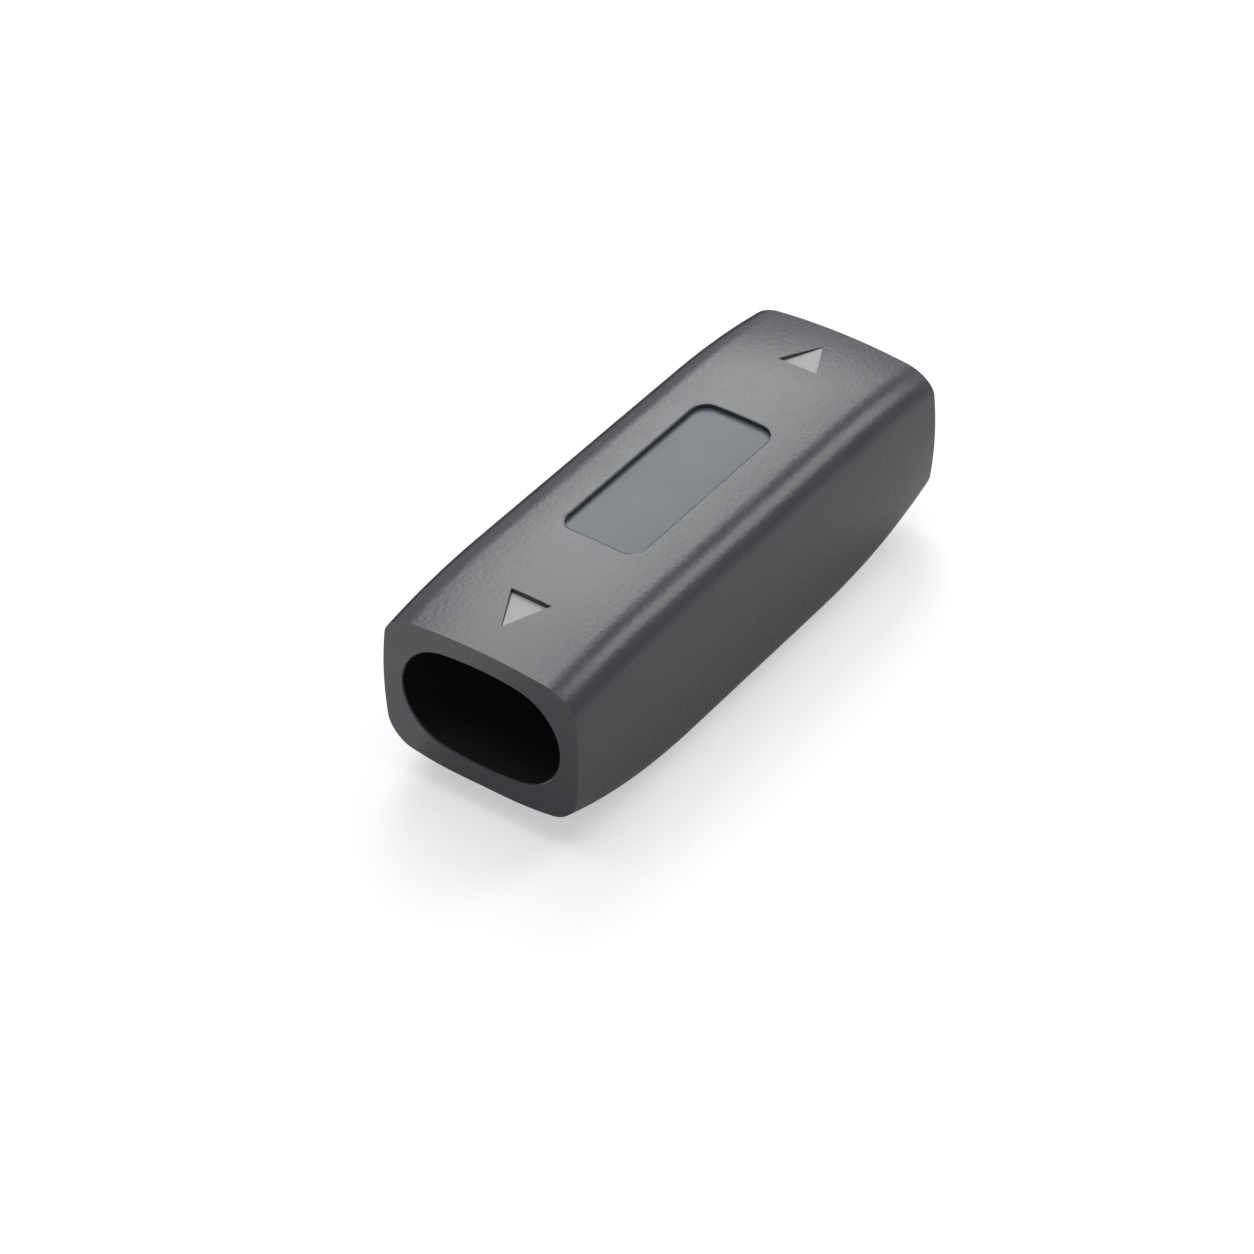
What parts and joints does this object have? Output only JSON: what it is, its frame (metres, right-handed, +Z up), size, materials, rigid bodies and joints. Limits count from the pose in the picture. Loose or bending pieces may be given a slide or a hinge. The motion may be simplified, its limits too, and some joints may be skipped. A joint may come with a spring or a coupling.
{
  "type": "in-line network cable coupler",
  "caption": "Straight outdoor in-line coupler for network cables: seamless moulded body, an obround socket with a shielded modular jack at each end, bare label recess on top.",
  "frame": {"origin": "under the middle of the body, on the flat of the underside that it rests on", "axes": "+X along the cables, from the front socket to the rear one; +Z up, through the label recess; the sockets' common axis is 12.35 mm up"},
  "size_m": [0.065, 0.0244, 0.0223],
  "materials": {
    "body_plastic": "fine moulded grain, matt dark grey",
    "label_plastic": "smooth satin, a little bluer than the body",
    "arrow_plastic": "smooth matt light grey",
    "sleeve_plastic": "matt black",
    "jack_plastic": "satin black",
    "shield_metal": "tinned sheet, satin",
    "contact_metal": "gold plated, bright",
    "board_laminate": "glass laminate with green solder mask"
  },
  "bodies": {
    "root": {"outer_body": "body_plastic", "label_plate": "label_plastic", "circuit_board": "board_laminate", "front_arrow_inlay": "arrow_plastic", "front_socket_sleeve": "sleeve_plastic", "front_jack_body": "jack_plastic", "front_jack_shield": "shield_metal", "front_contact_carrier": "jack_plastic", "front_contact_1": "contact_metal", "front_contact_2": "contact_metal", "front_contact_3": "contact_metal", "front_contact_4": "contact_metal", "front_contact_5": "contact_metal", "front_contact_6": "contact_metal", "front_contact_7": "contact_metal", "front_contact_8": "contact_metal", "rear_arrow_inlay": "arrow_plastic", "rear_socket_sleeve": "sleeve_plastic", "rear_jack_body": "jack_plastic", "rear_jack_shield": "shield_metal", "rear_contact_carrier": "jack_plastic", "rear_contact_1": "contact_metal", "rear_contact_2": "contact_metal", "rear_contact_3": "contact_metal", "rear_contact_4": "contact_metal", "rear_contact_5": "contact_metal", "rear_contact_6": "contact_metal", "rear_contact_7": "contact_metal", "rear_contact_8": "contact_metal"}
  },
  "joints": []
}
